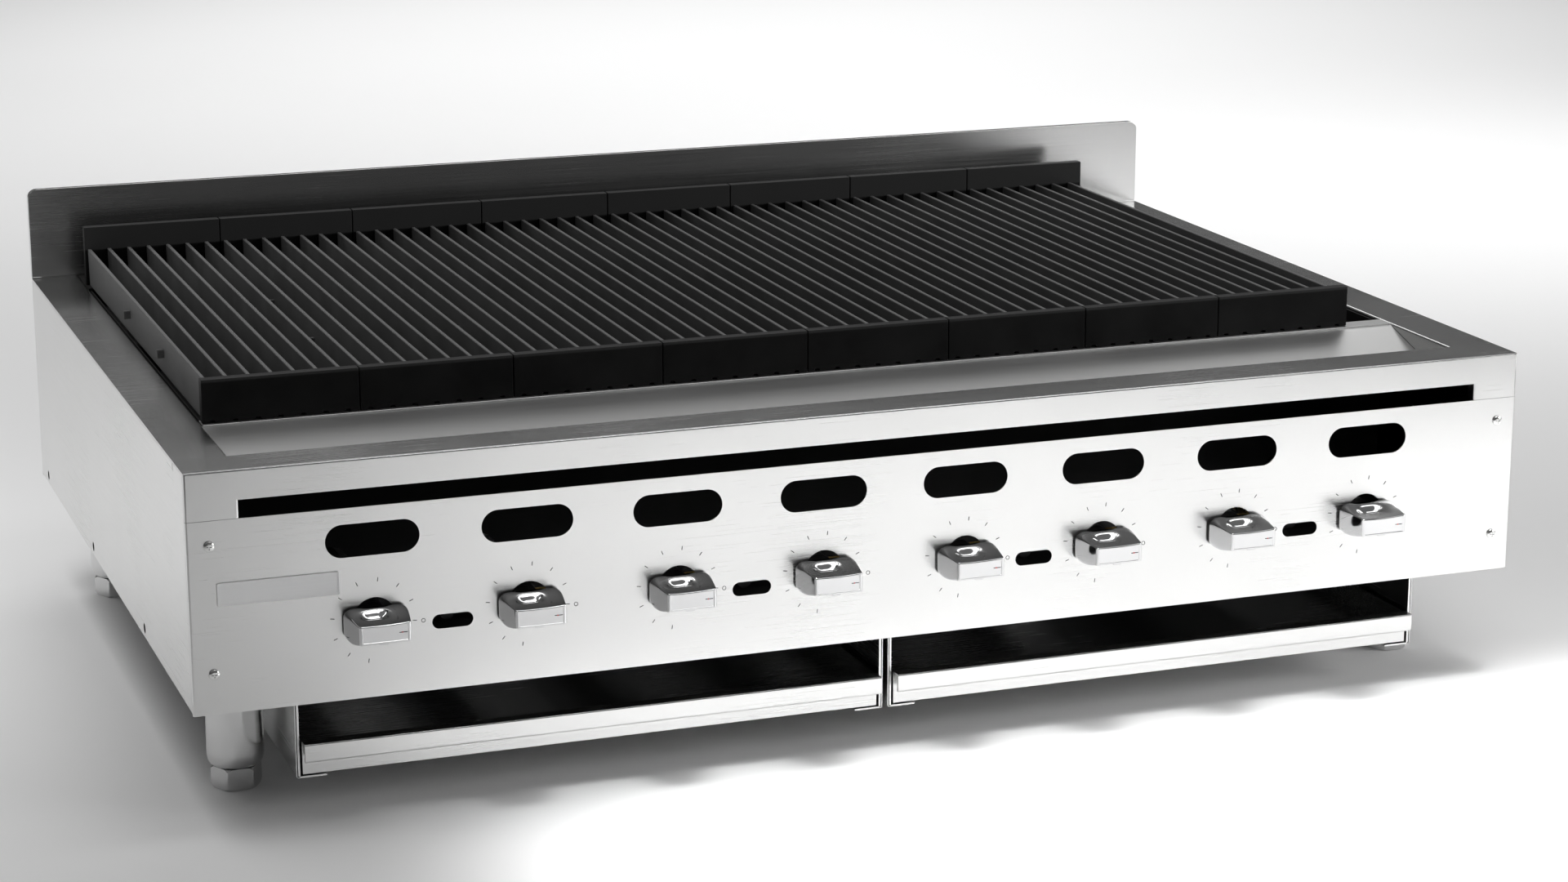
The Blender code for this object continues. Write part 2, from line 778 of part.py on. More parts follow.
def drawer_housing(name, side):
    """Open-fronted channel that a drawer slides in."""
    inner_x = HOUSING_IN
    outer_x = HOUSING_OUT
    parts = []
    for wall, turn in ((inner_x, 1), (outer_x, -1)):
        def span(reach, wall=wall, turn=turn):
            return sorted((wall, wall + turn * reach))
        for reach, front, back, low, high in (
                (SHEET, HOUSING_FRONT, HOUSING_BACK, HOUSING_BOTTOM, HOUSING_TOP),
                (HOUSING_RETURN, HOUSING_FRONT, HOUSING_FRONT + SHEET, HOUSING_BOTTOM, HOUSING_TOP),
                (HOUSING_FLANGE, HOUSING_FRONT, HOUSING_BACK, HOUSING_BOTTOM,
                 HOUSING_BOTTOM + SHEET),
                (HOUSING_FLANGE / 2, HOUSING_FRONT, HOUSING_BACK, HOUSING_TOP - SHEET,
                 HOUSING_TOP)):
            near, far = span(reach)
            parts.append(box((near, front, low), (far, back, high)))
    parts.append(box((inner_x, HOUSING_BACK - SHEET, HOUSING_BOTTOM),
                     (outer_x, HOUSING_BACK, HOUSING_TOP)))
    thing = joined(name, parts)
    if side < 0:
        mirror_across_x(thing)
    return place(thing)


def mirror_across_x(thing):
    """Mirror a mesh left to right and keep its faces pointing out."""
    for vert in thing.data.vertices:
        vert.co.x = -vert.co.x
    thing.data.flip_normals()


def drawer(name, side):
    """Shallow tray with a folded lip to pull it by."""
    middle = side * (HOUSING_IN + HOUSING_OUT) / 2
    half = TRAY_WIDTH / 2
    front = HOUSING_FRONT + GAP
    shell = box((-half, front, TRAY_BOTTOM), (half, TRAY_BACK, TRAY_TOP - 0.0015))
    hollow = box((SHEET - half, front + SHEET, TRAY_BOTTOM + SHEET),
                 (half - SHEET, TRAY_BACK - SHEET, 0))
    tray = joined("tray", [shell], [hollow])
    line = [(front + SHEET, TRAY_BOTTOM + SHEET / 2), (front + SHEET, TRAY_TOP),
            (front - LIP_REACH, TRAY_TOP), (front - LIP_REACH, TRAY_TOP - LIP_DROP)]
    lip = prism(folded(line), 0, -half, half)
    thing = joined(name, [tray, lip])
    return place(thing, (middle, 0, 0))


# ------------------------------------------------------------------- the whole

def build():
    """Make every piece and give it its finish."""
    clear_scene()
    looks = make_materials()
    legs, feet = legs_and_feet()
    groups = {
        "stainless": [
            top_frame(), control_panel(), backsplash(), back_panel(), grease_trough(),
            side_panel("side_panel_left", -1), side_panel("side_panel_right", 1),
            drawer_housing("drawer_housing_left", -1), drawer_housing("drawer_housing_right", 1),
            drawer("drawer_left", -1), drawer("drawer_right", 1)],
        "inner_steel": [
            firebox_liner(), burner_rest(), rear_grate_rail(), base_frame(),
            *copies(smooth(burner_mesh()), "burner", KNOB_Z, BURNER_START)],
        "cast_iron": [
            *grates(), *copies(radiant_mesh(), "radiant", LEDGE_Z + GAP)],
        "chrome": [*copies(knob_mesh(), "knob", KNOB_Z), *legs, *feet],
        "black_pipe": [gas_manifold(), gas_supply_pipe()],
        "brass": [pilot_line()],
        "plate": [nameplate()],
    }
    for look, things in groups.items():
        for thing in things:
            finish(thing, looks[look])


build()
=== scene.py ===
"""Looks for an eight-burner countertop gas charbroiler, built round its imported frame.

Places are measured from one datum: the middle of the body's front edge at the
level of the deck's top.  X runs to the right, Y to the back, Z up, in metres.
Only the knob's sections are in millimetres.
"""

import math

import bmesh
import bpy
from mathutils import Matrix, Vector


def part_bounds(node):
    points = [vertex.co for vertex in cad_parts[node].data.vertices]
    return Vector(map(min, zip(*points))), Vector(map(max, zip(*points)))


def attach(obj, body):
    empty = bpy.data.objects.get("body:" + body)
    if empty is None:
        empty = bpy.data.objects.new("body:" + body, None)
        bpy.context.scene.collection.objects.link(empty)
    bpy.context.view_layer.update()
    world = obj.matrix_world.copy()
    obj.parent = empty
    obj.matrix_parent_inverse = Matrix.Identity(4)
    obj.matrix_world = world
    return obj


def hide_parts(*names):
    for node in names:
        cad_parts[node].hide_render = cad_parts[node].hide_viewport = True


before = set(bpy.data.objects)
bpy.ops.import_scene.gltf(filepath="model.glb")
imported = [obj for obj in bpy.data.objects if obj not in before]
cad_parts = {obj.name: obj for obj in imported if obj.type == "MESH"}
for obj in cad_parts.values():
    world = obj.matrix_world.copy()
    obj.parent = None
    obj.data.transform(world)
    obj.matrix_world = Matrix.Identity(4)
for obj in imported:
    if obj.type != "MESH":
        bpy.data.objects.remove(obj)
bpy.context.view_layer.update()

# Driving sizes, read from the frame
DECK_LOW, DECK_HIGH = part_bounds("top_frame")
DATUM = Vector((0, DECK_LOW.y, DECK_HIGH.z))
HALF = DECK_HIGH.x
BODY_DEPTH = DECK_HIGH.y - DECK_LOW.y
APRON = DECK_HIGH.z - DECK_LOW.z
BURNERS = 8

# Sheet: its thickness, clearances, bend radii and turned-in edges
SHEET = 0.0015
GAP = 0.0003
INSET = 0.0005
BEND = 0.0010
TIGHT_BEND = 0.0001
CORNER_BEND = 0.0017
RETURN = 0.0032
SIDE_FLANGE = 0.0095
SHELF_FRONT = 0.0006
SHELF_BACK = 0.014

# Deck strips and the apron's slot
OPENING_HALF = HALF - 0.0442
FRONT_STRIP = 0.0445
DECK_FLANGE = 0.036
FRONT_FLANGE = 0.008
SLOT_HALF = 0.551
SLOT_TOP = -0.0244
SLOT_RETURN = 0.010
SLOT_BEND = 0.0022

# Openings in the control panel
BURNER_PITCH = 0.1274
PORT_SIZE = (0.0765, 0.0272)
PORT_Z = -0.0663
KNOB_Z = -0.1343
KNOB_HOLE = 0.0175
KNOB_HOLE_RISE = 0.002
PILOT_SIZE = (0.034, 0.012)
PILOT_Z = -0.1409
BURNER_XS = [(i - (BURNERS - 1) / 2) * BURNER_PITCH for i in range(BURNERS)]
PILOT_XS = [(BURNER_XS[i] + BURNER_XS[i + 1]) / 2 for i in range(0, BURNERS, 2)]

# Backsplash, trough and the gas pipe's hole
LAP_BOTTOM = 0.0013
SPLASH_CORNER = 0.009
RIM_START = 0.0008
TROUGH_GUTTER = 0.012
TROUGH_FLANGE = 0.018
TROUGH_LAP = 0.006
PIPE_HOLE = 0.01535

# Blank plate
NAMEPLATE_CORNER = 0.0012
NAMEPLATE_BORDER = 0.0011
BORDER_THICK = 0.0006
FIELD_DEPTH = 0.00035

# Grates
GRATE_LEFT = -0.549
GRATE_PITCH = 0.1319
GRATE_JOINT = 0.0008
GRATE_PLATE = 0.010
FRONT_PLATE_TOP = 0.0365
NOTCH_NEAR = 0.0018
NOTCH_FAR = 0.0058
NOTCH_DEEP = 0.005
NOTCH_HIGH = 0.0020
FINS = 7
FIN_TOP = 0.0350
FIN_THICK = 0.0035
FIN_TAPER = 0.0005
FIN_CHAMFER = 0.0005
FIN_SHOULDER = 0.004
FIN_INSET = 0.006
FIRST_FIN = 0.0046
TIE_PLACES = (0.335, 0.500)
TIE_HALF = 0.002
TIE_HIGH = 0.0070
LUG_LOW = 0.0145
LUG_HIGH = 0.0220

# Marks round a knob's valve: ten ticks and the ring at the off mark
DIAL_SHIFT = (-0.0010, 0.0005)
TICKS = 10
FIRST_TICK = -6.5
TICK_STEP = 29.8
TICK_START = 0.0320
TICK_END = 0.0354
TICK_HALF = 0.0003
OFF_MARK = (0.0405, -0.0046)
OFF_RADII = (0.0018, 0.0013)
INK_OUT = 0.00008
INK_IN = 0.0002

# Screws
SCREW_RADIUS = 0.0043
SCREW_HEIGHT = 0.0024
SCREW_FLAT = 0.35
PANEL_SCREW_XS = (-0.576, 0.576)
PANEL_SCREW_ZS = (-0.0598, -0.1645)
SIDE_SCREW_YS = (0.2126, 0.4724, 0.7366)
SIDE_SCREW_Z = -0.188
REAR_SCREW_XS = (-0.56, -0.28, 0.0, 0.28, 0.50)
REAR_SCREW_LOW = -0.182
REAR_SCREW_HIGH = -0.018

# Legs and feet
LEG_RADIUS = 0.0232
LEG_SWELL = 0.0004
STUD_HOLE = 0.0064
SHOULDER_REACH = 0.006
SHOULDER_RISE = 0.0115
SHOULDER_STEP = 0.0002
CAP_THICK = 0.003
CAP_CHAMFER = 0.0004
FOOT_ACROSS = 0.037
FOOT_HIGH = 0.0185
STEM_START = 0.002
THREAD_PITCH = 0.0015
THREAD_CREST = 0.0060
THREAD_ROOT = 0.0052

# Drawers and their housings
LIP_REACH = 0.0115
LIP_DROP = 0.0155
LIP_SHEET = 0.0012
LIP_BEND = 0.0002
LIP_FOOT = 0.004
LIP_HEM = 0.0029
LIP_HEM_RISE = 0.009
HOUSING_RETURN = 0.0033
HOUSING_FLANGE = 0.025
HOUSING_BEND = 0.0006

# Camera at the photograph's viewing angle
CAMERA_PLACE = (-1.0535, -2.5902, 0.7018)
CAMERA_AHEAD = (0.33457, 0.90797, -0.25228)
CAMERA_LENS = 79.81

# How far the studio floor lies below the feet
FLOOR_GAP = 0.0002

# Brightness of the surroundings, from straight down to straight up
SKY_STOPS = ((0.0, 0.08), (0.3, 0.10), (0.7, 0.30), (1.0, 0.38))
SKY_STRENGTH = 0.5


def part_box(node):
    """A node's corners measured from the datum."""
    low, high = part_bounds(node)
    return low - DATUM, high - DATUM


# ------------------------------------------------------------------ mesh tools

def new_object(name, mesh):
    """Link a mesh to the scene at the datum."""
    thing = bpy.data.objects.new(name, mesh)
    bpy.context.scene.collection.objects.link(thing)
    thing.location = DATUM
    return thing


def mesh_from(name, bm):
    """Turn a bmesh into an object with its faces pointing out."""
    bmesh.ops.recalc_face_normals(bm, faces=bm.faces)
    mesh = bpy.data.meshes.new(name)
    bm.to_mesh(mesh)
    bm.free()
    return new_object(name, mesh)


def merged(name, things):
    """Put several objects' meshes into one object."""
    bm = bmesh.new()
    for thing in things:
        mesh = thing.data
        mesh.transform(Matrix.Translation(thing.location - DATUM))
        bm.from_mesh(mesh)
        bpy.data.objects.remove(thing)
    mesh = bpy.data.meshes.new(name)
    bm.to_mesh(mesh)
    bm.free()
    return new_object(name, mesh)


def evaluated_mesh(thing):
    """A new mesh of an object, as its modifiers or curve settings shape it."""
    bpy.context.view_layer.update()
    graph = bpy.context.evaluated_depsgraph_get()
    return bpy.data.meshes.new_from_object(thing.evaluated_get(graph))


def baked(thing):
    """Replace an object's mesh with its evaluated one."""
    mesh = evaluated_mesh(thing)
    thing.modifiers.clear()
    thing.data = mesh
    return thing


def cut(body, tools, operation="DIFFERENCE"):
    """Cut, join or limit a body with other objects, which are used up."""
    group = bpy.data.collections.new("tools")
    for tool in tools:
        group.objects.link(tool)
    modifier = body.modifiers.new("cut", "BOOLEAN")
    modifier.operation = operation
    modifier.operand_type = "COLLECTION"
    modifier.collection = group
    modifier.solver = "EXACT"
    baked(body)
    for tool in tools:
        bpy.data.objects.remove(tool)
    bpy.data.collections.remove(group)
    return body


def joined(things):
    """Union several objects into the first."""
    return cut(things[0], things[1:], "UNION")


def softened(thing, width=0.0004, segments=2, angle=40):
    """Round an object's edges."""
    modifier = thing.modifiers.new("soften", "BEVEL")
    modifier.width = width
    modifier.segments = segments
    modifier.limit_method = "ANGLE"
    modifier.angle_limit = math.radians(angle)
    modifier.harden_normals = False
    return baked(thing)


def smooth(thing, angle=32):
    """Shade smooth, with flats kept flat and real edges kept sharp."""
    thing.data.shade_smooth()
    thing.data.set_sharp_from_angle(angle=math.radians(angle))
    modifier = thing.modifiers.new("flats", "WEIGHTED_NORMAL")
    modifier.mode = "FACE_AREA"
    modifier.weight = 100
    modifier.keep_sharp = True
    return baked(thing)


def block(low, high):
    """A box between two corners."""
    bm = bmesh.new()
    bmesh.ops.create_cube(bm, size=1)
    for vert in bm.verts:
        vert.co = [low[i] + (vert.co[i] + 0.5) * (high[i] - low[i]) for i in range(3)]
    return mesh_from("block", bm)


def prism(outline, axis, start, end, name="prism"):
    """An outline in the other two axes, pushed along one axis."""
    others = [i for i in range(3) if i != axis]

    def corner(point, along):
        place = [0.0, 0.0, 0.0]
        place[others[0]], place[others[1]] = point
        place[axis] = along
        return place

    bm = bmesh.new()
    first = [bm.verts.new(corner(point, start)) for point in outline]
    last = [bm.verts.new(corner(point, end)) for point in outline]
    bm.faces.new(first)
    bm.faces.new(last[::-1])
    for i in range(len(outline)):
        j = (i + 1) % len(outline)
        bm.faces.new((first[i], first[j], last[j], last[i]))
    return mesh_from(name, bm)


def loft(rings, name):
    """A closed skin through rings of points."""
    bm = bmesh.new()
    rows = [[bm.verts.new(point) for point in ring] for ring in rings]
    count = len(rows[0])
    for lower, upper in zip(rows, rows[1:]):
        for i in range(count):
            j = (i + 1) % count
            bm.faces.new((lower[i], lower[j], upper[j], upper[i]))
    bm.faces.new(rows[0])
    bm.faces.new(rows[-1][::-1])
    return mesh_from(name, bm)


def turned(profile, axis, sides, name="turned"):
    """A body turned from (radius, distance along the axis) pairs."""
    others = [i for i in range(3) if i != axis]
    rings = []
    for radius, along in profile:
        ring = []
        for k in range(sides):
            angle = 2 * math.pi * k / sides
            place = [0.0, 0.0, 0.0]
            place[others[0]] = radius * math.cos(angle)
            place[others[1]] = radius * math.sin(angle)
            place[axis] = along
            ring.append(place)
        rings.append(ring)
    return loft(rings, name)


def moved(thing, offset):
    """Shift an object's mesh."""
    thing.data.transform(Matrix.Translation(offset))
    return thing


def arc(centre, radius, start, end, steps):
    """Points along an arc, angles in degrees."""
    points = []
    for k in range(steps + 1):
        angle = math.radians(start + (end - start) * k / steps)
        points.append((centre[0] + radius * math.cos(angle), centre[1] + radius * math.sin(angle)))
    return points


def circle(centre, radius, sides):
    """Points round a circle."""
    return arc(centre, radius, 0, 360 - 360 / sides, sides - 1)


def obround(width, height, centre, steps=24):
    """A slot with round ends."""
    radius = height / 2
    reach = width / 2 - radius
    right = arc((centre[0] + reach, centre[1]), radius, -90, 90, steps)
    left = arc((centre[0] - reach, centre[1]), radius, 90, 270, steps)
    return right + left


def rounded_rectangle(low, high, radii, steps=8):
    """A rectangle whose corners, from low left round to top left, have these radii."""
    turns = ((low[0], low[1], 1, 1, 180), (high[0], low[1], -1, 1, 270),
             (high[0], high[1], -1, -1, 0), (low[0], high[1], 1, -1, 90))
    points = []
    for (x, y, side, rise, start), radius in zip(turns, radii):
        if radius:
            centre = (x + side * radius, y + rise * radius)
            points += arc(centre, radius, start, start + 90, steps)
        else:
            points.append((x, y))
    return points


def plate(name, outline, holes, front, back, edge=0.0003):
    """An upright sheet with holes and softened edges, between two depths in Y."""
    curve = bpy.data.curves.new(name, "CURVE")
    curve.dimensions = "2D"
    curve.fill_mode = "BOTH"
    curve.extrude = (back - front) / 2 - edge
    curve.bevel_depth = edge
    curve.bevel_resolution = 1
    curve.offset = -edge
    for points in (outline, *holes):
        spline = curve.splines.new("POLY")
        spline.points.add(len(points) - 1)
        for point, (x, z) in zip(spline.points, points):
            point.co = (x, z, 0, 1)
        spline.use_cyclic_u = True
    thing = bpy.data.objects.new(name, curve)
    bpy.context.scene.collection.objects.link(thing)
    mesh = evaluated_mesh(thing)
    bpy.data.objects.remove(thing)
    middle = (front + back) / 2
    mesh.transform(Matrix(((1, 0, 0, 0), (0, 0, -1, middle), (0, 1, 0, 0), (0, 0, 0, 1))))
    bm = bmesh.new()
    bm.from_mesh(mesh)
    bmesh.ops.remove_doubles(bm, verts=bm.verts, dist=1e-6)
    bm.to_mesh(mesh)
    bm.free()
    return new_object(name, mesh)


def filleted(points, left, right, steps=4):
    """A line with its left and right turns rounded to two radii."""
    points = [Vector(point) for point in points]
    line = [points[0]]
    for before, corner, after in zip(points, points[1:], points[2:]):
        into = (corner - before).normalized()
        out = (after - corner).normalized()
        turn = into.angle_signed(out)
        radius = left if turn < 0 else right
        start = corner - into * radius * math.tan(abs(turn) / 2)
        side = 1 if turn < 0 else -1
        centre = start + Vector((-into.y, into.x)) * radius * side
        spoke = start - centre
        for k in range(steps + 1):
            angle = turn * k / steps
            cos, sin = math.cos(-angle), math.sin(-angle)
            line.append(centre + Vector((spoke.x * cos - spoke.y * sin,
                                         spoke.x * sin + spoke.y * cos)))
    line.append(points[-1])
    return line


def folded(points, thickness=SHEET, radius=BEND):
    """The outline of a bent sheet that lies on the left of its line."""
    line = filleted(points, radius + thickness, radius)
    inner = []
    for i, point in enumerate(line):
        before = (point - line[i - 1]).normalized() if i else None
        after = (line[i + 1] - point).normalized() if i + 1 < len(line) else None
        before = before or after
        after = after or before
        mitre = (Vector((-before.y, before.x)) + Vector((-after.y, after.x))).normalized()
        inner.append(point + mitre * thickness / mitre.dot(Vector((-before.y, before.x))))
    return [tuple(point) for point in line + inner[::-1]]


# ------------------------------------------------------------------- materials

class Nodes:
    """Short calls for building a material's nodes."""

    def __init__(self, name):
        self.material = bpy.data.materials.new(name)
        self.material.use_nodes = True
        self.tree = self.material.node_tree
        self.shader = self.tree.nodes["Principled BSDF"]
        self.place = self.add("ShaderNodeTexCoord").outputs["Object"]

    def add(self, kind, **settings):
        """Add a node and set its properties."""
        node = self.tree.nodes.new(kind)
        for key, value in settings.items():
            setattr(node, key, value)
        return node

    def feed(self, socket, value):
        """Link a socket, or set its value."""
        if isinstance(value, bpy.types.NodeSocket):
            self.tree.links.new(value, socket)
        else:
            socket.default_value = value

    def set(self, **values):
        """Set the shader's inputs, with _ for the blanks in their names."""
        for key, value in values.items():
            self.feed(self.shader.inputs[key.replace("_", " ")], value)

    def stretched(self, scale):
        """The object's coordinates scaled by axis."""
        node = self.add("ShaderNodeMapping")
        self.feed(node.inputs["Vector"], self.place)
        node.inputs["Scale"].default_value = scale
        return node.outputs["Vector"]

    def height(self):
        """The height above the deck."""
        node = self.add("ShaderNodeSeparateXYZ")
        self.feed(node.inputs[0], self.place)
        return node.outputs["Z"]

    def noise(self, vector, scale=1.0, detail=4.0, rough=0.5):
        """A noise texture's value."""
        node = self.add("ShaderNodeTexNoise")
        self.feed(node.inputs["Vector"], vector)
        node.inputs["Scale"].default_value = scale
        node.inputs["Detail"].default_value = detail
        node.inputs["Roughness"].default_value = rough
        return node.outputs["Fac"]

    def ramp(self, value, low, high, spread=(0.3, 0.7)):
        """Map a value's spread to the range between two numbers."""
        node = self.add("ShaderNodeMapRange", clamp=True)
        self.feed(node.inputs["Value"], value)
        node.inputs["From Min"].default_value = spread[0]
        node.inputs["From Max"].default_value = spread[1]
        node.inputs["To Min"].default_value = low
        node.inputs["To Max"].default_value = high
        return node.outputs["Result"]

    def total(self, first, second):
        """The sum of two values."""
        node = self.add("ShaderNodeMath", operation="ADD")
        self.feed(node.inputs[0], first)
        self.feed(node.inputs[1], second)
        return node.outputs[0]

    def blend(self, value, dark, light):
        """Mix two colours by a value; the first may be another node's output."""
        node = self.add("ShaderNodeMix", data_type="RGBA")
        self.feed(node.inputs["Factor"], value)
        linked = isinstance(dark, bpy.types.NodeSocket)
        self.feed(node.inputs[6], dark if linked else (*dark, 1))
        self.feed(node.inputs[7], (*light, 1))
        return node.outputs[2]

    def bump(self, height, strength, distance):
        """A bump from a height."""
        node = self.add("ShaderNodeBump")
        self.feed(node.inputs["Height"], height)
        node.inputs["Strength"].default_value = strength
        node.inputs["Distance"].default_value = distance
        return node.outputs["Normal"]


def brushed_steel(name, grain, rough=0.24):
    """Stainless sheet brushed along one axis."""
    made = Nodes(name)
    colour = (0.74, 0.74, 0.735)
    fine = [1400.0] * 3
    fine[grain] = 9.0
    broad = [160.0] * 3
    broad[grain] = 2.0
    streaks = made.noise(made.stretched(fine), detail=3.0)
    bands = made.noise(made.stretched(broad), detail=2.0)
    clouds = made.noise(made.place, scale=5.0, detail=3.0)
    made.set(Base_Color=made.blend(streaks, [v * 0.975 for v in colour], colour), Metallic=1.0)
    brushing = made.ramp(streaks, rough - 0.03, rough + 0.03)
    handling = made.ramp(clouds, -0.02, 0.025)
    made.set(Roughness=made.total(brushing, handling))
    made.set(Normal=made.bump(bands, 0.02, 0.00006))
    return made.material


def cast_iron(name, tones, worn_and_highlight_tone, shine):
    """Seasoned cast iron with a sandy skin, lighter along the fins' tops: partly wear from
    rubbing, partly a painted highlight for the light those tops catch.
    """
    made = Nodes(name)
    sand = made.noise(made.place, scale=900.0, detail=4.0, rough=0.6)
    blotch = made.noise(made.place, scale=22.0, detail=5.0)
    low, high = tones
    colour = made.blend(made.ramp(blotch, 0.0, 1.0), (low,) * 3, (high,) * 3)
    # Band at the fins' top height: real wear plus a painted highlight, given a lighter tone than
    # the rest.
    rubbed_and_lit_band = (FIN_TOP - 0.0012, FIN_TOP + 0.0001)
    crest = made.ramp(made.height(), 0.0, 1.0, rubbed_and_lit_band)
    made.set(Base_Color=made.blend(crest, colour, (worn_and_highlight_tone,) * 3), Metallic=0.0)
    made.set(Roughness=made.ramp(blotch, 0.40, 0.55))
    made.set(Specular_IOR_Level=shine)
    made.set(Normal=made.bump(sand, 0.3, 0.0002))
    return made.material


def bright_zinc():
    """Bright zinc plating on the screws."""
    made = Nodes("screw_zinc")
    haze = made.noise(made.place, scale=700.0, detail=3.0)
    made.set(Base_Color=made.blend(haze, (0.78, 0.78, 0.77), (0.88, 0.88, 0.87)), Metallic=1.0)
    made.set(Roughness=made.ramp(haze, 0.16, 0.26))
    return made.material


def silver_plate():
    """Satin silver enamel on the blank plate, nearly white from every side."""
    made = Nodes("plate_silver")
    grain = made.noise(made.stretched((9.0, 900.0, 900.0)), detail=3.0)
    made.set(Base_Color=made.blend(grain, (0.93,) * 3, (0.98,) * 3), Metallic=0.0)
    made.set(Roughness=made.ramp(grain, 0.30, 0.38))
    return made.material


def chrome(name, rough, colour):
    """Bright plating with faint polishing marks."""
    made = Nodes(name)
    haze = made.noise(made.place, scale=60.0, detail=5.0)
    scuffs = made.noise(made.stretched((900.0, 900.0, 120.0)), detail=3.0)
    made.set(Base_Color=made.blend(haze, [v * 0.97 for v in colour], colour), Metallic=1.0)
    made.set(Roughness=made.ramp(haze, rough * 0.7, rough * 1.6))
    made.set(Normal=made.bump(scuffs, 0.03, 0.00005))
    return made.material


def dark_steel():
    """Heat-darkened inner steel."""
    made = Nodes("dark_steel_look")
    scale_marks = made.noise(made.place, scale=30.0, detail=6.0, rough=0.6)
    grit = made.noise(made.place, scale=600.0, detail=3.0)
    made.set(Base_Color=made.blend(scale_marks, (0.008, 0.008, 0.008), (0.022, 0.021, 0.020)))
    made.set(Metallic=0.4)
    made.set(Roughness=made.ramp(scale_marks, 0.55, 0.8))
    made.set(Normal=made.bump(grit, 0.25, 0.0002))
    return made.material


def black_pipe():
    """Painted gas pipe with a slight orange peel."""
    made = Nodes("black_pipe_look")
    peel = made.noise(made.place, scale=450.0, detail=2.0)
    dust = made.noise(made.place, scale=18.0, detail=5.0)
    made.set(Base_Color=made.blend(dust, (0.012, 0.012, 0.013), (0.028, 0.028, 0.029)))
    made.set(Roughness=made.ramp(dust, 0.32, 0.5))
    made.set(Normal=made.bump(peel, 0.2, 0.0002))
    return made.material


def brass():
    """Stained brass of the pilot tube and its fittings."""
    made = Nodes("brass_look")
    stain = made.noise(made.place, scale=45.0, detail=5.0)
    made.set(Base_Color=made.blend(stain, (0.42, 0.27, 0.10), (0.72, 0.52, 0.22)), Metallic=1.0)
    made.set(Roughness=made.ramp(stain, 0.24, 0.45))
    return made.material


def ink(name, colour):
    """Printed or filled marks."""
    made = Nodes(name)
    grain = made.noise(made.place, scale=2500.0, detail=2.0)
    made.set(Base_Color=made.blend(grain, [v * 0.85 for v in colour], colour))
    made.set(Roughness=made.ramp(grain, 0.4, 0.6))
    return made.material


def floor_paint():
    """Plain pale studio floor."""
    made = Nodes("studio_floor_look")
    mottle = made.noise(made.place, scale=0.6, detail=2.0)
    made.set(Base_Color=made.blend(mottle, (0.90, 0.90, 0.90), (0.93, 0.93, 0.93)))
    made.set(Roughness=made.ramp(mottle, 0.7, 0.8))
    return made.material


LOOKS = {
    "steel_x": brushed_steel("steel_brushed_across", 0),
    "steel_y": brushed_steel("steel_brushed_front_to_back", 1),
    # Ends and fins are one cast iron. The fins take a much lighter tone: painted light standing in
    # for light on their shaded sides and the valleys between them.
    "iron": cast_iron("cast_iron_ends", (0.006, 0.012), 0.04, 0.12),
    "fins": cast_iron("cast_iron_fins_painted_lighter", (0.13, 0.17), 0.18, 0.30),
    "trough": brushed_steel("steel_brushed_trough", 0, 0.40),
    "knob": chrome("knob_chrome", 0.08, (0.66, 0.66, 0.665)),
    "leg": chrome("leg_chrome", 0.16, (0.70, 0.70, 0.70)),
    "screw": bright_zinc(),
    "dark": dark_steel(),
    "pipe": black_pipe(),
    "brass": brass(),
    "plate": silver_plate(),
    "marks": ink("dial_ink", (0.02, 0.02, 0.02)),
    "pointer": ink("pointer_red", (0.55, 0.03, 0.02)),
}


def done(thing, look, body="root", stands_for=()):
    """Give a piece its material, slot and body, and the nodes it stands for."""
    thing.data.materials.clear()
    thing.data.materials.append(LOOKS[look])
    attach(thing, body)
    if stands_for:
        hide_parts(*stands_for)
    return thing


# ---------------------------------------------------------------- camera, stage

def aimed(thing, direction):
    """Turn a camera or lamp to look along a direction."""
    thing.rotation_euler = direction.to_track_quat("-Z", "Y").to_euler()


def make_camera():
    """The camera at the photograph's viewing angle."""
    data = bpy.data.cameras.new("camera")
    data.lens = CAMERA_LENS
    data.sensor_width = 36
    data.clip_end = 100
    camera = bpy.data.objects.new("camera", data)
    bpy.context.scene.collection.objects.link(camera)
    camera.location = DATUM + Vector(CAMERA_PLACE)
    aimed(camera, Vector(CAMERA_AHEAD))
    bpy.context.scene.camera = camera


def make_floor():
    """A wide pale floor."""
    bm = bmesh.new()
    bmesh.ops.create_grid(bm, x_segments=1, y_segments=1, size=60)
    floor = mesh_from("studio_floor", bm)
    floor.location = (0, 0, -FLOOR_GAP)
    floor.data.materials.append(floor_paint())


def softbox(name, place, target, size, power, spread=180):
    """A large rectangular lamp aimed at a point, both measured from the floor."""
    data = bpy.data.lights.new(name, "AREA")
    data.shape = "RECTANGLE"
    data.size, data.size_y = size
    data.energy = power
    data.spread = math.radians(spread)
    lamp = bpy.data.objects.new(name, data)
    bpy.context.scene.collection.objects.link(lamp)
    lamp.location = place
    aimed(lamp, Vector(target) - Vector(place))


